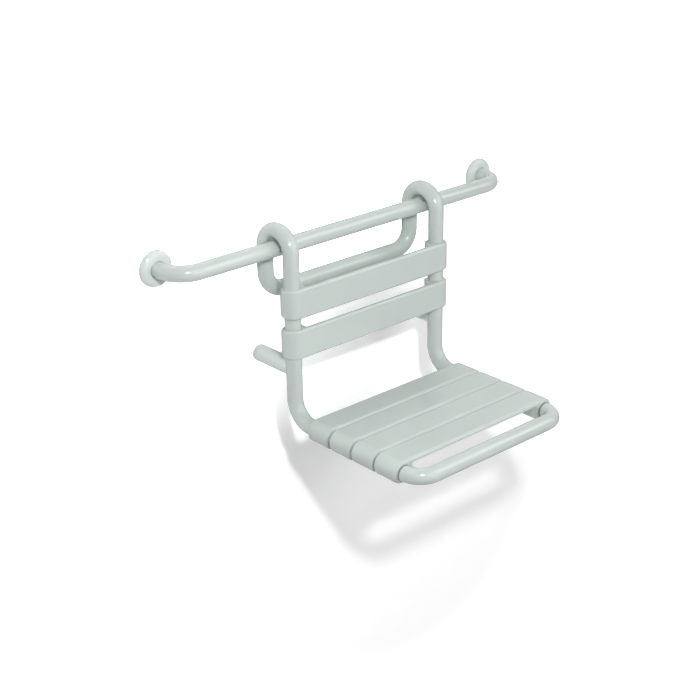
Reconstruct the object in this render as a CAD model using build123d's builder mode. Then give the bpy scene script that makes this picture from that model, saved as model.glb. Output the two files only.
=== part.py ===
from build123d import *
from math import asin, degrees
import os

# Hook-in shower seat hung on its wall rail.
# The origin lies on the wall, midway between the rail's ends and level with the rail's axis.
# X runs along the rail, Y points into the wall and Z is up. All sizes are in millimetres.

# Tube of rail and frame: a moulded sleeve over a continuous steel core
tube_diameter = 32.0
core_diameter = 25.0
core_wall = 2.0
core_fit = 0.1

# Wall rail
rail_span = 850.0
rail_leg_run = 20.0
rail_bend_radius = 50.0

# Wall flanges and the rosettes that cover them
rosette_diameter = 70.0
rosette_depth = 12.0
rosette_wall = 3.0
rosette_edge_radius = 9.0
rosette_tube_gap = 0.8
rosette_snap_gap = 0.3
flange_thickness = 4.0
flange_spigot_length = 12.0
flange_hole_circle = 48.0
flange_hole_diameter = 6.5
flange_hole_count = 3

# Hooks and the liners that ride on the rail inside them
hook_side_gap = 7.0
liner_thickness = 1.5
liner_lip = 3.5
liner_width = 24.0
liner_angle = 100.0
liner_rail_gap = 0.05
liner_hook_gap = 0.3

# Seat frame
frame_width = 384.0
rear_bar_drop = 100.0
rear_corner_radius = 42.0
seat_drop = 346.0
seat_bend_radius = 48.0
front_corner_radius = 38.0
spigot_length = 24.0
spigot_fit = 0.1
spigot_bend_gap = 2.0
spigot_screw_gap = 2.4

# Slats
slat_thickness = 8.6
slat_edge_radius = 5.5
slat_draft = 2.5
slat_sleeve_wall = 6.9
slat_fit = 0.1
slat_web_radius = 5.0
seat_slat_count = 4
seat_slat_width = 60.0
seat_slat_gap = 2.5
seat_slat_rear_run = 11.0
seat_slat_front_run = 2.0
seat_rib_thickness = 4.0
seat_rib_depth = 9.0
seat_rib_spacing = 28.0
back_slat_height = 61.0
back_slat_gap = 21.0
back_slat_drop = 69.0

# Screws that hold the slat ends
slat_screw_diameter = 4.2
slat_screw_head_diameter = 8.0
slat_screw_head_height = 2.4
slat_screw_head_sink = 0.4
slat_screw_tip = 2.0
slat_screw_key = 2.5
screw_fit = 0.1

# Wall stubs, their screws, nuts and buffers
stub_diameter = 34.0
stub_slat_gap = 7.0
stub_setback = 6.0
stub_saddle_fit = 0.1
buffer_thickness = 9.0
buffer_edge_radius = 3.5
buffer_plug_diameter = 14.0
buffer_plug_length = 8.0
buffer_plug_fit = 0.1
buffer_plug_room = 0.5
stub_screw_diameter = 6.0
stub_screw_head_diameter = 10.0
stub_screw_head_height = 6.0
stub_screw_key = 5.0
stub_screw_end = 4.0
nut_diameter = 9.0
nut_length = 13.0
nut_flange_diameter = 13.0
nut_flange_thickness = 0.8
nut_thread_fit = 0.05

# Sizes that follow from the ones above
tube_radius = tube_diameter / 2
core_radius = core_diameter / 2
core_bore_radius = core_radius - core_wall
sleeve_bore_radius = core_radius + core_fit
spigot_radius = core_bore_radius - spigot_fit
sleeve_radius = tube_radius + slat_fit + slat_sleeve_wall

rail_end = rail_span / 2
rail_y = -rail_leg_run - rail_bend_radius

hook_radius = 2 * tube_radius + hook_side_gap
hook_top = tube_radius + liner_rail_gap + liner_thickness + liner_hook_gap + tube_radius
upright_y = rail_y - hook_radius
rear_y = rail_y + hook_radius
side_x = frame_width / 2
side_z = -seat_drop
rear_bar_z = -rear_bar_drop

seat_slat_pitch = seat_slat_width + seat_slat_gap
seat_slat_rear_y = upright_y - seat_bend_radius - seat_slat_rear_run
seat_slat_backs = [seat_slat_rear_y - i * seat_slat_pitch for i in range(seat_slat_count)]
front_bar_y = seat_slat_backs[-1] - seat_slat_width - seat_slat_front_run - front_corner_radius
bar_joint_run = spigot_length / 2 + spigot_bend_gap
front_joint_x = side_x - front_corner_radius - bar_joint_run
rear_joint_x = side_x - rear_corner_radius - bar_joint_run

back_slat_pitch = back_slat_height + back_slat_gap
back_slat_tops = {"upper": -back_slat_drop, "lower": -back_slat_drop - back_slat_pitch}
back_screw_zs = [top - back_slat_height / 2 for top in back_slat_tops.values()]
hook_joint_z = back_screw_zs[0] + slat_screw_diameter / 2 + spigot_screw_gap + spigot_length / 2
stub_z = back_slat_tops["lower"] - back_slat_height - stub_slat_gap - stub_diameter / 2
stub_length = -upright_y - stub_setback - buffer_thickness

rosette_radius = rosette_diameter / 2
rosette_bore_radius = rosette_radius - rosette_wall
liner_bore_radius = tube_radius + liner_rail_gap
liner_outer_radius = liner_bore_radius + liner_thickness + liner_lip
slat_bore_radius = tube_radius + slat_fit
plate_back = sleeve_radius - slat_thickness
slat_screw_hole_radius = slat_screw_diameter / 2 + screw_fit
slat_screw_bore_radius = slat_screw_head_diameter / 2 + screw_fit
slat_screw_seat = sleeve_radius - slat_screw_head_sink - slat_screw_head_height
stub_bore_radius = buffer_plug_diameter / 2 + buffer_plug_fit
stub_bore_depth = buffer_plug_length + buffer_plug_room + stub_screw_head_height

# Screw axes start on a tube's axis: down through the seat slats, and towards the wall behind the back
sides = {"left": -1, "right": 1}
seat_screw_axes = {}
back_screw_axes = {}
stub_axes = {}
for side, sign in sides.items():
    seat_screw_axes[side] = [
        Plane(origin=(sign * side_x, back - seat_slat_width / 2, side_z), z_dir=(0, 0, -1))
        for back in seat_slat_backs
    ]
    back_screw_axes[side] = [
        Plane(origin=(sign * side_x, upright_y, screw_z), z_dir=(0, 1, 0))
        for screw_z in back_screw_zs
    ]
    stub_axes[side] = Plane(origin=(sign * side_x, upright_y, stub_z), z_dir=(0, 1, 0))

os.makedirs("parts", exist_ok=True)


def bent_path(corners, radii):
    """A line through the corners, whose inner corners are all square and rounded by the radii."""
    with BuildLine() as path:
        start = Vector(*corners[0])
        for corner, after, radius in zip(corners[1:-1], corners[2:], radii):
            turn = Vector(*corner)
            into = (turn - start).normalized()
            onward = (Vector(*after) - turn).normalized()
            bend_start = turn - into * radius
            if bend_start != start:
                Line(start, bend_start)
            bend = TangentArc(bend_start, turn + onward * radius, tangent=into)
            start = bend @ 1
        Line(start, corners[-1])
    return path.wire()


def pipe(path, outer_radius, bore_radius):
    """Adds a tube of ring section along a path to the piece in hand."""
    with BuildSketch(Plane(origin=path @ 0, z_dir=path % 0)) as ring:
        Circle(outer_radius)
        Circle(bore_radius, mode=Mode.SUBTRACT)
    sweep(ring.sketch, path=path)


def rod(plane, radius, length, mode=Mode.ADD):
    """Stands a round rod on a plane, added to the piece in hand or cut from it."""
    with Locations(plane):
        Cylinder(radius, length, align=(Align.CENTER, Align.CENTER, Align.MIN), mode=mode)


def cap_screw(seat, diameter, length, head_diameter, head_height, key):
    """Adds a screw to the piece in hand, its head on the seat plane and its shank behind it."""
    rod(seat.offset(-length), diameter / 2, length)
    rod(seat, head_diameter / 2, head_height)
    with BuildSketch(seat.offset(head_height)) as socket:
        RegularPolygon(key / 2, 6, major_radius=False)
    extrude(socket.sketch, amount=-head_height / 2, mode=Mode.SUBTRACT)


# Wall rail: one bent tube from wall flange to wall flange, over a steel core
rail_path = bent_path(
    [
        (-rail_end, -flange_thickness, 0),
        (-rail_end, rail_y, 0),
        (rail_end, rail_y, 0),
        (rail_end, -flange_thickness, 0),
    ],
    [rail_bend_radius, rail_bend_radius],
)
with BuildPart() as rail_tube:
    pipe(rail_path, tube_radius, sleeve_bore_radius)
rail_tube.part.label = "rail_tube"
export_step(rail_tube.part, "parts/rail_tube.step")

with BuildPart() as rail_core:
    pipe(rail_path, core_radius, core_bore_radius)
rail_core.part.label = "rail_core"
export_step(rail_core.part, "parts/rail_core.step")

for side, sign in sides.items():
    wall_end = Plane(origin=(sign * rail_end, 0, 0), x_dir=(1, 0, 0), z_dir=(0, -1, 0))

    # Wall flange: steel disc with screw holes, and a spigot inside the end of the rail's core
    with BuildPart() as wall_flange:
        with BuildSketch(wall_end):
            Circle(rosette_bore_radius - rosette_snap_gap)
            with PolarLocations(flange_hole_circle / 2, flange_hole_count, start_angle=90):
                Circle(flange_hole_diameter / 2, mode=Mode.SUBTRACT)
        extrude(amount=flange_thickness)
        rod(wall_end.offset(flange_thickness), spigot_radius, flange_spigot_length)
    wall_flange.part.label = f"wall_flange_{side}"
    export_step(wall_flange.part, f"parts/wall_flange_{side}.step")

    # Rosette: hollow round cover with a soft edge, which slides along the rail's end
    with BuildPart() as rosette_hollow:
        rod(wall_end, rosette_bore_radius, rosette_depth - rosette_wall)
        fillet(rosette_hollow.edges().sort_by(Axis.Y)[0], radius=rosette_edge_radius - rosette_wall)
    with BuildPart() as rosette:
        rod(wall_end, rosette_radius, rosette_depth)
        fillet(rosette.edges().sort_by(Axis.Y)[0], radius=rosette_edge_radius)
        add(rosette_hollow.part, mode=Mode.SUBTRACT)
        rod(wall_end, tube_radius + rosette_tube_gap, rosette_depth, mode=Mode.SUBTRACT)
    rosette.part.label = f"rosette_{side}"
    export_step(rosette.part, f"parts/rosette_{side}.step")

    # Hook liner: saddle on top of the rail, grooved round the hook that rests in it
    hook_x = sign * side_x
    rail_section = Plane(origin=(hook_x, rail_y, 0), x_dir=(0, -1, 0), z_dir=(-1, 0, 0))
    with BuildPart() as hook_liner:
        with BuildSketch(rail_section):
            with BuildLine():
                inner = CenterArc((0, 0), liner_bore_radius, 90 - liner_angle / 2, liner_angle)
                outer = CenterArc((0, 0), liner_outer_radius, 90 - liner_angle / 2, liner_angle)
                Line(inner @ 0, outer @ 0)
                Line(inner @ 1, outer @ 1)
            make_face()
        extrude(amount=liner_width / 2, both=True)
        with Locations(Plane(origin=(hook_x, rail_y, hook_top - hook_radius), z_dir=(1, 0, 0))):
            Torus(hook_radius, tube_radius + liner_hook_gap, mode=Mode.SUBTRACT)
    hook_liner.part.label = f"hook_liner_{side}"
    export_step(hook_liner.part, f"parts/hook_liner_{side}.step")

    # Hook: up from the joint inside the upper back slat, over the rail and down to the rear bar
    hook_path = bent_path(
        [
            (hook_x, upright_y, hook_joint_z),
            (hook_x, upright_y, hook_top),
            (hook_x, rear_y, hook_top),
            (hook_x, rear_y, rear_bar_z),
            (sign * rear_joint_x, rear_y, rear_bar_z),
        ],
        [hook_radius, hook_radius, rear_corner_radius],
    )
    with BuildPart() as hook_tube:
        pipe(hook_path, tube_radius, sleeve_bore_radius)
    hook_tube.part.label = f"hook_tube_{side}"
    export_step(hook_tube.part, f"parts/hook_tube_{side}.step")

    with BuildPart() as hook_core:
        pipe(hook_path, core_radius, core_bore_radius)
    hook_core.part.label = f"hook_core_{side}"
    export_step(hook_core.part, f"parts/hook_core_{side}.step")

    # Side tube: down the back, forward under the seat and round the front corner
    side_path = bent_path(
        [
            (hook_x, upright_y, hook_joint_z),
            (hook_x, upright_y, side_z),
            (hook_x, front_bar_y, side_z),
            (sign * front_joint_x, front_bar_y, side_z),
        ],
        [seat_bend_radius, front_corner_radius],
    )
    with BuildPart() as side_tube:
        pipe(side_path, tube_radius, sleeve_bore_radius)
        for hole in seat_screw_axes[side] + back_screw_axes[side]:
            rod(hole, slat_screw_hole_radius, sleeve_radius, mode=Mode.SUBTRACT)
        rod(stub_axes[side], nut_flange_diameter / 2 + screw_fit, sleeve_radius, mode=Mode.SUBTRACT)
    side_tube.part.label = f"side_tube_{side}"
    export_step(side_tube.part, f"parts/side_tube_{side}.step")

    with BuildPart() as side_core:
        pipe(side_path, core_radius, core_bore_radius)
        for hole in seat_screw_axes[side] + back_screw_axes[side]:
            rod(hole, slat_screw_hole_radius, sleeve_radius, mode=Mode.SUBTRACT)
        rod(stub_axes[side], nut_diameter / 2 + screw_fit, sleeve_radius, mode=Mode.SUBTRACT)
    side_core.part.label = f"side_core_{side}"
    export_step(side_core.part, f"parts/side_core_{side}.step")

    # Wall stub: round spacer from the upright to the wall, bored for its screw and for the buffer's plug
    stub_end = Plane(origin=(hook_x, -buffer_thickness, stub_z), x_dir=(1, 0, 0), z_dir=(0, 1, 0))
    upright_foot = Plane(origin=(hook_x, upright_y, stub_z - stub_diameter))
    with BuildPart() as stub:
        rod(stub_axes[side].offset(stub_setback), stub_diameter / 2, stub_length)
        rod(upright_foot, tube_radius + stub_saddle_fit, 2 * stub_diameter, mode=Mode.SUBTRACT)
        rod(stub_axes[side], stub_screw_diameter / 2 + screw_fit, -upright_y, mode=Mode.SUBTRACT)
        rod(stub_end.offset(-stub_bore_depth), stub_bore_radius, stub_bore_depth, mode=Mode.SUBTRACT)
    stub.part.label = f"stub_{side}"
    export_step(stub.part, f"parts/stub_{side}.step")

    # Buffer: soft rounded end of the stub that rests on the wall, held by a plug
    with BuildPart() as buffer:
        rod(stub_end, stub_diameter / 2, buffer_thickness)
        fillet(buffer.edges().sort_by(Axis.Y)[-1], radius=buffer_edge_radius)
        rod(stub_end.offset(-buffer_plug_length), buffer_plug_diameter / 2, buffer_plug_length)
    buffer.part.label = f"buffer_{side}"
    export_step(buffer.part, f"parts/buffer_{side}.step")

# Front bar and rear bar: straight tubes between the corners
front_path = bent_path([(-front_joint_x, front_bar_y, side_z), (front_joint_x, front_bar_y, side_z)], [])
rear_path = bent_path([(-rear_joint_x, rear_y, rear_bar_z), (rear_joint_x, rear_y, rear_bar_z)], [])
for bar, bar_path in {"front_bar": front_path, "rear_bar": rear_path}.items():
    with BuildPart() as bar_tube:
        pipe(bar_path, tube_radius, sleeve_bore_radius)
    bar_tube.part.label = f"{bar}_tube"
    export_step(bar_tube.part, f"parts/{bar}_tube.step")

    with BuildPart() as bar_core:
        pipe(bar_path, core_radius, core_bore_radius)
    bar_core.part.label = f"{bar}_core"
    export_step(bar_core.part, f"parts/{bar}_core.step")

# Spigots: plugs inside the core at each butt joint of the frame
with BuildPart() as core_spigots:
    for sign in sides.values():
        hook_joint = Plane(origin=(sign * side_x, upright_y, hook_joint_z))
        front_joint = Plane(origin=(sign * front_joint_x, front_bar_y, side_z), z_dir=(1, 0, 0))
        rear_joint = Plane(origin=(sign * rear_joint_x, rear_y, rear_bar_z), z_dir=(1, 0, 0))
        for joint in (hook_joint, front_joint, rear_joint):
            rod(joint.offset(-spigot_length / 2), spigot_radius, spigot_length)
core_spigots.part.label = "core_spigots"
export_step(core_spigots.part, "parts/core_spigots.step")


def slat_body(slat, plane, width, screw_axes):
    """Starts a slat: a plate between two sleeves, drawn from the plane along its normal.
    Its long edges are rounded, and lean together towards the back as the mould's draft makes them."""
    with BuildSketch(plane) as outline:
        SlotCenterToCenter(2 * side_x, 2 * sleeve_radius)
    extrude(outline.sketch, amount=width)
    with BuildSketch(Plane(origin=plane.origin, x_dir=plane.z_dir, z_dir=-plane.x_dir)) as drafted:
        with BuildLine():
            Polyline(
                (0, sleeve_radius),
                (width, sleeve_radius),
                (width - slat_draft, -sleeve_radius),
                (slat_draft, -sleeve_radius),
                close=True,
            )
        make_face()
    extrude(drafted.sketch, amount=frame_width, both=True, mode=Mode.INTERSECT)
    edge_faces = slat.faces().sort_by(Axis(plane.origin, plane.z_dir))
    fillet(edge_faces[0].edges() + edge_faces[-1].edges(), radius=slat_edge_radius)

    sleeve_wrap = 270 + degrees(asin(plate_back / sleeve_radius))
    with BuildSketch(plane) as section:
        with BuildLine():
            Line((-side_x, sleeve_radius), (side_x, sleeve_radius))
            right = CenterArc((side_x, 0), sleeve_radius, 90, -sleeve_wrap)
            left = CenterArc((-side_x, 0), sleeve_radius, 90, sleeve_wrap)
            Line(right @ 1, left @ 1)
        make_face()
        fillet(section.vertices().group_by(Axis.Y)[0], radius=slat_web_radius)
        with Locations((-side_x, 0), (side_x, 0)):
            Circle(slat_bore_radius, mode=Mode.SUBTRACT)
    extrude(section.sketch, amount=width, mode=Mode.INTERSECT)
    for axis in screw_axes:
        rod(axis, slat_screw_hole_radius, sleeve_radius, mode=Mode.SUBTRACT)
        rod(axis.offset(slat_screw_seat), slat_screw_bore_radius, slat_sleeve_wall, mode=Mode.SUBTRACT)


# Seat slats: ribbed underneath, each held from below by a screw in each sleeve
for i, back in enumerate(seat_slat_backs):
    slat_plane = Plane(origin=(0, back, side_z), x_dir=(1, 0, 0), z_dir=(0, -1, 0))
    middle = slat_plane.offset(seat_slat_width / 2)
    with BuildPart() as seat_slat:
        slat_body(seat_slat, slat_plane, seat_slat_width, [seat_screw_axes[side][i] for side in sides])
        with BuildSketch(middle.offset(-seat_rib_spacing / 2), middle.offset(seat_rib_spacing / 2)):
            with Locations((0, plate_back)):
                Rectangle(2 * (side_x - slat_bore_radius), seat_rib_depth, align=(Align.CENTER, Align.MAX))
        extrude(amount=seat_rib_thickness / 2, both=True)
    seat_slat.part.label = f"seat_slat_{i + 1}"
    export_step(seat_slat.part, f"parts/seat_slat_{i + 1}.step")

# Back slats: plain plates across the uprights, screwed from behind
for i, (place, top) in enumerate(back_slat_tops.items()):
    slat_plane = Plane(origin=(0, upright_y, top), x_dir=(1, 0, 0), z_dir=(0, 0, -1))
    with BuildPart() as back_slat:
        slat_body(back_slat, slat_plane, back_slat_height, [back_screw_axes[side][i] for side in sides])
    back_slat.part.label = f"back_slat_{place}"
    export_step(back_slat.part, f"parts/back_slat_{place}.step")

# Slat screws: one through each sleeve into the steel core
with BuildPart() as slat_screws:
    for side in sides:
        for axis in seat_screw_axes[side] + back_screw_axes[side]:
            cap_screw(
                axis.offset(slat_screw_seat),
                slat_screw_diameter,
                slat_screw_seat - core_bore_radius + slat_screw_tip,
                slat_screw_head_diameter,
                slat_screw_head_height,
                slat_screw_key,
            )
slat_screws.part.label = "slat_screws"
export_step(slat_screws.part, "parts/slat_screws.step")

# Stub screws: long screws from the wall end of each stub into the nut in the upright
with BuildPart() as stub_screws:
    for side in sides:
        cap_screw(
            stub_axes[side].offset(-buffer_thickness - stub_bore_depth - upright_y),
            stub_screw_diameter,
            -buffer_thickness - stub_bore_depth - upright_y - stub_screw_end,
            stub_screw_head_diameter,
            stub_screw_head_height,
            stub_screw_key,
        )
stub_screws.part.label = "stub_screws"
export_step(stub_screws.part, "parts/stub_screws.step")

# Rivet nuts: flanged threaded sleeves set in the wall of each upright's core
with BuildPart() as rivet_nuts:
    for side in sides:
        flange_face = stub_axes[side].offset(core_radius + nut_flange_thickness)
        nut_foot = flange_face.offset(-nut_length)
        rod(flange_face.offset(-nut_flange_thickness), nut_flange_diameter / 2, nut_flange_thickness)
        rod(nut_foot, nut_diameter / 2, nut_length)
        rod(nut_foot, stub_screw_diameter / 2 + nut_thread_fit, nut_length, mode=Mode.SUBTRACT)
rivet_nuts.part.label = "rivet_nuts"
export_step(rivet_nuts.part, "parts/rivet_nuts.step")
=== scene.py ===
import bmesh
import bpy
from math import radians
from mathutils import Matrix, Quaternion, Vector


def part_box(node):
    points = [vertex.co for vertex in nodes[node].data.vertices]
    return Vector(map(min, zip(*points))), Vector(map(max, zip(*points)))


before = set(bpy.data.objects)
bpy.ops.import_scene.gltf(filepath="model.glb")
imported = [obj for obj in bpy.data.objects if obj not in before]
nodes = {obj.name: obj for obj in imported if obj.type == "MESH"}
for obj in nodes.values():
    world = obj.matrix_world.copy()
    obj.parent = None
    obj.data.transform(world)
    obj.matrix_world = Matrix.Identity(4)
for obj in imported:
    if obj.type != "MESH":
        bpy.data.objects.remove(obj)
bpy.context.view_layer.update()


# Steel inside: pressed wall flanges and drawn tube cores of plain mild steel.
# The flanges are screwed to the wall, and short spigots join the bent cores end to end.
# Only a flange ever shows, when its cover is pulled away from the wall.
ROLLED_STRETCH = 25.0
LINE_SHARE = 0.4
CLOUD_SHARE = 0.6
STEEL_ROUGHNESS = 0.28
CLOUD_ROUGHNESS = 0.18
INNER_BRIGHT = (0.58, 0.58, 0.59, 1)
INNER_DULL = (0.40, 0.41, 0.42, 1)
INNER_LINES = 1800.0


class Shade:
    """One output of a shader node. Arithmetic on it adds Math nodes to the same material."""

    def __init__(self, tree, socket=None):
        self.tree = tree
        self.socket = socket

    def node(self, kind, settings=None, inputs=None, output=0):
        """Adds a node, makes its settings, feeds its sockets and returns one of its outputs."""
        made = self.tree.nodes.new(f"ShaderNode{kind}")
        for name, setting in (settings or {}).items():
            setattr(made, name, setting)
        for key, value in (inputs or {}).items():
            if isinstance(value, Shade):
                self.tree.links.new(value.socket, made.inputs[key])
            else:
                made.inputs[key].default_value = value
        return Shade(self.tree, made.outputs[output] if made.outputs else None)

    def maths(self, operation, first, second):
        return self.node("Math", {"operation": operation}, {0: first, 1: second})

    def __add__(self, other):
        return self.maths("ADD", self, other)

    def __radd__(self, other):
        return self.maths("ADD", other, self)

    def __sub__(self, other):
        return self.maths("SUBTRACT", self, other)

    def __rsub__(self, other):
        return self.maths("SUBTRACT", other, self)

    def __mul__(self, other):
        return self.maths("MULTIPLY", self, other)

    def __rmul__(self, other):
        return self.maths("MULTIPLY", other, self)


def new_finish(name):
    """An empty material, and the point from which its nodes are made."""
    material = bpy.data.materials.new(name)
    material.use_nodes = True
    material.node_tree.nodes.clear()
    return material, Shade(material.node_tree)


def blend_colours(root, factor, first, second):
    """A colour between two colours."""
    return root.node("Mix", {"data_type": "RGBA"}, {0: factor, 6: first, 7: second}, output=2)


def dress(material, names):
    """Gives CAD nodes their material."""
    for name in names:
        for slot in nodes[name].material_slots:
            slot.material = material


def rolled_steel(name, bright, dull, line_scale):
    """Satin steel with fine lines from rolling and faint clouds of oil."""
    material, root = new_finish(name)
    place = root.node("TexCoord", output="Object")
    stretched = (line_scale, line_scale, line_scale / ROLLED_STRETCH)
    along = root.node("Mapping", inputs={"Vector": place, "Scale": stretched})
    lines = root.node("TexNoise", inputs={"Vector": along, "Scale": 1.0, "Detail": 3.0})
    clouds = root.node("TexNoise", inputs={"Vector": place, "Scale": 45.0, "Detail": 4.0})
    bump = root.node("Bump", inputs={"Height": lines, "Strength": 0.15, "Distance": 0.0001})
    surface = root.node("BsdfPrincipled", inputs={
        "Base Color": blend_colours(root, lines * LINE_SHARE + clouds * CLOUD_SHARE, dull, bright),
        "Metallic": 1.0,
        "Roughness": STEEL_ROUGHNESS + clouds * CLOUD_ROUGHNESS,
        "Normal": bump,
    })
    root.node("OutputMaterial", inputs={"Surface": surface})
    return material


inner_steel = rolled_steel("inner_steel", INNER_BRIGHT, INNER_DULL, INNER_LINES)
core_names = ["rail_core", "front_bar_core", "rear_bar_core", "core_spigots"]
for side in ("left", "right"):
    core_names += [f"hook_core_{side}", f"side_core_{side}", f"wall_flange_{side}"]
dress(inner_steel, core_names)


# Wall rail: a bent grab rail of glossy light grey nylon, moulded as one skin over its steel core.
# Its ends butt against the wall flanges. The surface is smooth, with the faint grain of its mould.
NYLON_LIGHT = (0.580, 0.641, 0.614, 1)
NYLON_DEEP = (0.545, 0.608, 0.580, 1)
DRIFT_SHARE = 0.7
SPECK_SHARE = 0.3
GRAIN_DEPTH = 0.0000022
SWIRL_DEPTH = 0.000006
SCRATCH_DEPTH = 0.000004
GLOSS_ROUGHNESS = 0.15
SMEAR_ROUGHNESS = 0.09
# Colour of the painted shade that darkens the gaps between sleeves and the lower sleeves.
PAINTED_SHADE_COLOUR = (0.20, 0.225, 0.21, 1)


def moulded_nylon(name, light=NYLON_LIGHT, deep=NYLON_DEEP, height=None, rub=0.0, painted_shade=None):
    """Glossy through-coloured nylon: slow drifts of tone, pigment specks, dull smears and mould grain.
    A height from another pattern adds to the grain, rub gives the fine scratches of use, and a painted
    shade from another pattern darkens the colour where shade falls, in gaps and low on the sleeves."""
    material, root = new_finish(name)
    place = root.node("TexCoord", output="Object")
    drift = root.node("TexNoise", inputs={"Vector": place, "Scale": 11.0, "Detail": 3.0})
    specks = root.node("TexNoise", inputs={"Vector": place, "Scale": 1500.0, "Detail": 1.0})
    smears = root.node(
        "TexNoise", inputs={"Vector": place, "Scale": 38.0, "Detail": 4.0, "Distortion": 0.8}
    )
    grain = root.node("TexNoise", inputs={"Vector": place, "Scale": 520.0, "Detail": 2.0})
    swirl = root.node("TexNoise", inputs={"Vector": place, "Scale": 60.0, "Detail": 1.0})
    relief = grain * GRAIN_DEPTH + swirl * SWIRL_DEPTH
    if height:
        relief = relief + height(root, place)
    roughness = GLOSS_ROUGHNESS + smears * SMEAR_ROUGHNESS
    if rub:
        lengthwise = root.node("Mapping", inputs={"Vector": place, "Scale": (9.0, 1100.0, 1100.0)})
        strokes = root.node("TexNoise", inputs={"Vector": lengthwise, "Scale": 1.0, "Detail": 2.0})
        scratches = root.node(
            "MapRange", {"interpolation_type": "SMOOTHSTEP"},
            {"Value": strokes, "From Min": 0.60, "From Max": 0.74},
        )
        roughness = roughness + scratches * rub
        relief = relief - scratches * SCRATCH_DEPTH
    bump = root.node("Bump", inputs={"Height": relief, "Strength": 1.0, "Distance": 1.0})
    colour = blend_colours(root, drift * DRIFT_SHARE + specks * SPECK_SHARE, deep, light)
    if painted_shade:
        colour = blend_colours(root, painted_shade(root, place), colour, PAINTED_SHADE_COLOUR)
    surface = root.node("BsdfPrincipled", inputs={
        "Base Color": colour,
        "Roughness": roughness,
        "IOR": 1.53,
        "Coat Weight": 0.6,
        "Coat Roughness": 0.10,
        "Normal": bump,
    })
    root.node("OutputMaterial", inputs={"Surface": surface})
    return material


tube_nylon = moulded_nylon("tube_nylon")
dress(tube_nylon, ["rail_tube"])


# Rosettes: round domed covers of the same nylon that hide the wall flanges.
# Each clips over its flange and can be pushed a little way along the rail to reach the screws.
# Painted light: the rosettes' colour is lighter than the rest of the nylon, standing in for light from
# the bright wall beside them.
ROSETTE_PAINTED_LIGHT = (0.695, 0.755, 0.730, 1)
ROSETTE_PAINTED_DEEP = (0.660, 0.722, 0.696, 1)
rosette_nylon_painted_light = moulded_nylon("rosette_nylon_painted_light", ROSETTE_PAINTED_LIGHT, ROSETTE_PAINTED_DEEP)
dress(rosette_nylon_painted_light, ["rosette_left", "rosette_right"])


# Hook liners: thin saddles of dull sliding plastic between the rail and the two hooks.
# They keep the hooks from marking the rail and let the seat be pushed along it.
# The liners' dark tone is partly painted shade, standing in for the shade in the crevice between hook
# and rail.
LINER_SHADED_LIGHT = (0.30, 0.33, 0.32, 1)
LINER_SHADED_DEEP = (0.23, 0.25, 0.245, 1)
LINER_ROUGHNESS = 0.45
LINER_GRAIN = 1200.0
LINER_GRAIN_DEPTH = 0.00004
MOTTLE_SHARE = 0.6
GRAIN_SHARE = 0.4
MOTTLE_ROUGHNESS = 0.15


def grained_plastic(name, light, deep, roughness, grain_scale, grain_depth):
    """Dull plastic or rubber with an even fine grain and a slightly mottled tone."""
    material, root = new_finish(name)
    place = root.node("TexCoord", output="Object")
    grain = root.node("TexNoise", inputs={"Vector": place, "Scale": grain_scale, "Detail": 3.0})
    mottle = root.node("TexNoise", inputs={"Vector": place, "Scale": 90.0, "Detail": 3.0})
    bump = root.node("Bump", inputs={"Height": grain * grain_depth, "Strength": 1.0, "Distance": 1.0})
    surface = root.node("BsdfPrincipled", inputs={
        "Base Color": blend_colours(root, mottle * MOTTLE_SHARE + grain * GRAIN_SHARE, deep, light),
        "Roughness": roughness + mottle * MOTTLE_ROUGHNESS,
        "Normal": bump,
    })
    root.node("OutputMaterial", inputs={"Surface": surface})
    return material


liner_plastic = grained_plastic(
    "liner_plastic", LINER_SHADED_LIGHT, LINER_SHADED_DEEP, LINER_ROUGHNESS, LINER_GRAIN, LINER_GRAIN_DEPTH
)
dress(liner_plastic, ["hook_liner_left", "hook_liner_right"])


# Seat frame: one closed loop of the same nylon over steel, which makes both hooks, the uprights,
# the sides of the seat, the front bar and the bar behind the rail.
# Painted shade: the side tubes are darkened in the gaps between the slat sleeves, where shade falls.
SHADE_EDGE = 0.0012
SHADE_FADE = 0.0030


def gap_painted_shade(root, place):
    """Paints shade on the side tubes, in the gaps that the sleeves of the seat slats leave."""
    first_low, first_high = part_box("seat_slat_1")
    second_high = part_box("seat_slat_2")[1]
    gap_middle = (first_low.y + second_high.y) / 2
    pitch = first_high.y - second_high.y
    along = root.node("SeparateXYZ", inputs={0: place}, output="Y")
    from_gap = root.node("Math", {"operation": "PINGPONG"}, {0: along - gap_middle, 1: pitch / 2})
    painted_shade = root.node(
        "MapRange", {"interpolation_type": "SMOOTHSTEP"},
        {"Value": from_gap, "From Min": SHADE_EDGE, "From Max": SHADE_FADE, "To Min": 1.0, "To Max": 0.0},
    )
    seat_rear = first_high.y + SHADE_FADE
    under_seat = root.node("Math", {"operation": "LESS_THAN"}, {0: along, 1: seat_rear})
    return painted_shade * under_seat


dress(tube_nylon, ["front_bar_tube", "rear_bar_tube", "hook_tube_left", "hook_tube_right"])
side_nylon_painted_shade = moulded_nylon("side_nylon_painted_shade", painted_shade=gap_painted_shade)
dress(side_nylon_painted_shade, ["side_tube_left", "side_tube_right"])


# Seat slats: wide nylon mouldings with a sleeve at each end that grips the side tubes.
# Two ribs run along the underside of each, and leave the faintest sink lines on top.
RIB_OFFSET = 0.014
SINK_WIDTH = 0.005
SINK_DEPTH = 0.00004
SEAT_RUB = 0.03
# Painted shade: the lower part of each slat sleeve is darkened towards the bottom, where less light
# falls.
LOW_SHADE = 0.24
LOW_SHADE_BELOW_TOP = 0.006
LOW_SHADE_ABOVE_FOOT = 0.007


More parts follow.
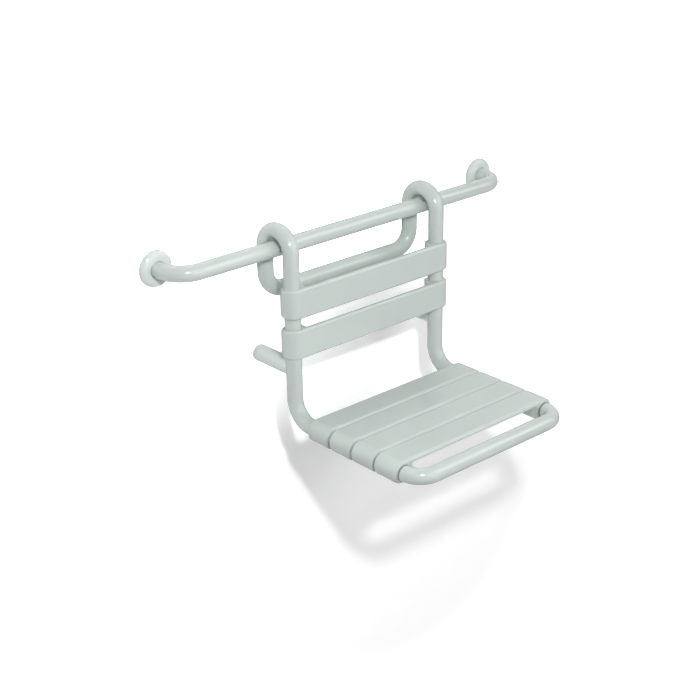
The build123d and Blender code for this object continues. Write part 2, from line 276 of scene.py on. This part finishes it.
def sink_lines(middle):
    """A height with a shallow dip over each of the two ribs of the slat that lies about the middle."""
    def height(root, place):
        across = root.node("SeparateXYZ", inputs={0: place}, output="Y")
        from_middle = root.node("Math", {"operation": "ABSOLUTE"}, {0: across - middle})
        from_rib = root.node("Math", {"operation": "ABSOLUTE"}, {0: from_middle - RIB_OFFSET})
        return root.node(
            "MapRange", {"interpolation_type": "SMOOTHSTEP"},
            {"Value": from_rib, "From Max": SINK_WIDTH, "To Min": -SINK_DEPTH, "To Max": 0.0},
        )
    return height


def low_painted_shade(foot, top):
    """Paints shade low on the sleeves that reach from foot to top, darker towards the bottom."""
    shade_end = foot + LOW_SHADE_ABOVE_FOOT
    shade_start = top - LOW_SHADE_BELOW_TOP

    def painted_shade(root, place):
        height = root.node("SeparateXYZ", inputs={0: place}, output="Z")
        return root.node(
            "MapRange", {"interpolation_type": "SMOOTHSTEP"},
            {"Value": height, "From Min": shade_end, "From Max": shade_start,
             "To Min": LOW_SHADE, "To Max": 0.0},
        )
    return painted_shade


for number in range(1, 5):
    slat = f"seat_slat_{number}"
    low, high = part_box(slat)
    lines = sink_lines((low.y + high.y) / 2)
    painted_shade = low_painted_shade(low.z, high.z)
    dress(moulded_nylon(f"{slat}_nylon", height=lines, rub=SEAT_RUB, painted_shade=painted_shade), [slat])


# Back slats: two flat nylon mouldings across the uprights, made like the seat slats but without ribs.
# A sleeve at each end goes round the upright, and one screw holds it there.
BACK_RUB = 0.02
back_nylon = moulded_nylon("back_nylon", rub=BACK_RUB)
dress(back_nylon, ["back_slat_upper", "back_slat_lower"])


# Screws and nuts: stainless socket screws sunk in the sleeves of the slats, and the long screws
# of the wall stubs with the rivet nuts that take them.
SCREW_BRIGHT = (0.72, 0.72, 0.73, 1)
SCREW_DULL = (0.52, 0.53, 0.54, 1)
SCREW_LINES = 4200.0
bright_steel = rolled_steel("bright_steel", SCREW_BRIGHT, SCREW_DULL, SCREW_LINES)
dress(bright_steel, ["slat_screws", "stub_screws", "rivet_nuts"])


# Wall stubs: round nylon spacers screwed to the uprights below the back.
# A rounded soft buffer plugs into the end of each and rests on the wall.
# Painted light: the stubs' colour is lighter than the rest of the nylon, standing in for light and
# reflection from the wall beside them.
STUB_PAINTED_LIGHT = (0.745, 0.805, 0.780, 1)
STUB_PAINTED_DEEP = (0.710, 0.772, 0.745, 1)
BUFFER_LIGHT = (0.66, 0.715, 0.685, 1)
BUFFER_DEEP = (0.61, 0.665, 0.64, 1)
BUFFER_ROUGHNESS = 0.42
BUFFER_GRAIN = 900.0
BUFFER_GRAIN_DEPTH = 0.00003
stub_nylon_painted_light = moulded_nylon("stub_nylon_painted_light", STUB_PAINTED_LIGHT, STUB_PAINTED_DEEP)
dress(stub_nylon_painted_light, ["stub_left", "stub_right"])
buffer_rubber = grained_plastic(
    "buffer_rubber", BUFFER_LIGHT, BUFFER_DEEP, BUFFER_ROUGHNESS, BUFFER_GRAIN, BUFFER_GRAIN_DEPTH
)
dress(buffer_rubber, ["buffer_left", "buffer_right"])


# Wall and floor: plain pale studio surfaces. The wall stands at the back of the rosettes, is clear when
# seen from behind, and lets light through to the faces that rest on it.
# Both keep the shadow of the seat itself, and fade to white further out.
STAGE_HALF = 6.0
FLOOR_Z = -1.45
WALL_Y = 0.0003
WALL_WHITE = 0.94
FLOOR_PALE = 0.55
SEEN_WHITE = 1.27
SHADOW_CENTRE = (0.24, 0.0, -0.70)
SHADOW_REACH = 0.39
FADE_REACH = 0.74
TOUCH_REACH = 0.003


def stage_finish(name, tone):
    """Paint that the camera sees brighter than it lights the room. A glow that only the camera sees
    hides the shadows away from the seat's own."""
    material, root = new_finish(name)
    seen = root.node("LightPath", output="Is Camera Ray")
    through = root.node("LightPath", output="Is Transmission Ray")
    place = root.node("TexCoord", output="Object")
    reach = root.node(
        "VectorMath", {"operation": "DISTANCE"}, {0: place, 1: SHADOW_CENTRE}, output="Value"
    )
    lift = root.node(
        "MapRange", {"interpolation_type": "SMOOTHSTEP"},
        {"Value": reach, "From Min": SHADOW_REACH, "From Max": FADE_REACH},
    )
    shown = seen + through
    paint = root.node("BsdfDiffuse", inputs={"Color": tone + shown * (SEEN_WHITE - tone)})
    glow = root.node("Emission", inputs={"Color": shown * lift})
    lit = root.node("AddShader", inputs={0: paint, 1: glow})
    clear = root.node("BsdfTransparent")
    behind = root.node("NewGeometry", output="Backfacing")
    ray_length = root.node("LightPath", output="Ray Length")
    touching = root.node("Math", {"operation": "LESS_THAN"}, {0: ray_length, 1: TOUCH_REACH})
    open_side = root.node("Math", {"operation": "MAXIMUM"}, {0: behind, 1: touching})
    surface = root.node("MixShader", inputs={0: open_side, 1: lit, 2: clear})
    root.node("OutputMaterial", inputs={"Surface": surface})
    return material


def stage_sheet(name, centre, normal, tone):
    """A large square sheet that faces along a normal."""
    sheet = bmesh.new()
    turn = Vector(normal).to_track_quat("Z", "Y").to_matrix().to_4x4()
    turn.translation = centre
    bmesh.ops.create_grid(sheet, x_segments=1, y_segments=1, size=STAGE_HALF, matrix=turn)
    mesh = bpy.data.meshes.new(name)
    sheet.to_mesh(mesh)
    sheet.free()
    mesh.materials.append(stage_finish(f"{name}_paint", tone))
    made = bpy.data.objects.new(name, mesh)
    bpy.context.scene.collection.objects.link(made)


stage_sheet("wall", (0, WALL_Y, FLOOR_Z + STAGE_HALF), (0, -1, 0), WALL_WHITE)
stage_sheet("floor", (0, WALL_Y - STAGE_HALF, FLOOR_Z), (0, 0, 1), FLOOR_PALE)


# Studio light: an even white room, one small lamp near the camera that gives the shadows on the wall
# and the bright spots on the bends, and two soft screens, one to the right and one in front.
ROOM_LIGHT = 0.178
LAMP_PLACE = (-1.03, -1.79, 1.065)
LAMP_RADIUS = 0.07
LAMP_POWER = 112.0
SCREEN_AIM = Vector((0.0, -0.2, -0.2))
SCREENS = {
    "right_screen": {"place": Vector((3.05, -3.25, 2.3)), "size": 2.6, "power": 46.0},
    "front_screen": {"place": Vector((1.4, -5.9, 0.7)), "size": 4.5, "power": 96.0},
}
world = bpy.data.worlds.new("room")
world.use_nodes = True
world.node_tree.nodes.clear()
sky = Shade(world.node_tree)
seen = sky.node("LightPath", output="Is Camera Ray")
strength = ROOM_LIGHT + seen * (1 - ROOM_LIGHT)
room = sky.node("Background", inputs={"Color": (1, 1, 1, 1), "Strength": strength})
sky.node("OutputWorld", inputs={"Surface": room})
bpy.context.scene.world = world

lamp_data = bpy.data.lights.new("lamp", "POINT")
lamp_data.energy = LAMP_POWER
lamp_data.shadow_soft_size = LAMP_RADIUS
lamp = bpy.data.objects.new("lamp", lamp_data)
lamp.location = LAMP_PLACE
bpy.context.scene.collection.objects.link(lamp)

for name, screen in SCREENS.items():
    screen_data = bpy.data.lights.new(name, "AREA")
    screen_data.energy = screen["power"]
    screen_data.size = screen["size"]
    made = bpy.data.objects.new(name, screen_data)
    made.location = screen["place"]
    made.rotation_mode = "QUATERNION"
    made.rotation_quaternion = (SCREEN_AIM - screen["place"]).to_track_quat("-Z", "Y")
    bpy.context.scene.collection.objects.link(made)


# Camera: in front and to the left, above the rail, as the photograph was taken.
# Its place, turn and lens were fitted to the straight lines of the object.
CAMERA_PLACE = Vector((-1.8684, -2.1547, 0.9472))
CAMERA_YAW = radians(41.68)
CAMERA_PITCH = radians(23.46)
CAMERA_ROLL = radians(0.75)
CAMERA_LENS = 77.0
CAMERA_SENSOR = 36.0
camera_data = bpy.data.cameras.new("camera")
camera_data.lens = CAMERA_LENS
camera_data.sensor_width = CAMERA_SENSOR
camera = bpy.data.objects.new("camera", camera_data)
level_view = Vector((0, 1, 0))
turned = Quaternion((0, 0, 1), -CAMERA_YAW) @ Quaternion((1, 0, 0), -CAMERA_PITCH)
camera.rotation_mode = "QUATERNION"
camera.location = CAMERA_PLACE
camera.rotation_quaternion = (
    turned @ level_view.to_track_quat("-Z", "Y") @ Quaternion((0, 0, 1), -CAMERA_ROLL)
)
bpy.context.scene.collection.objects.link(camera)
bpy.context.scene.camera = camera
bpy.context.scene.view_settings.view_transform = "Standard"
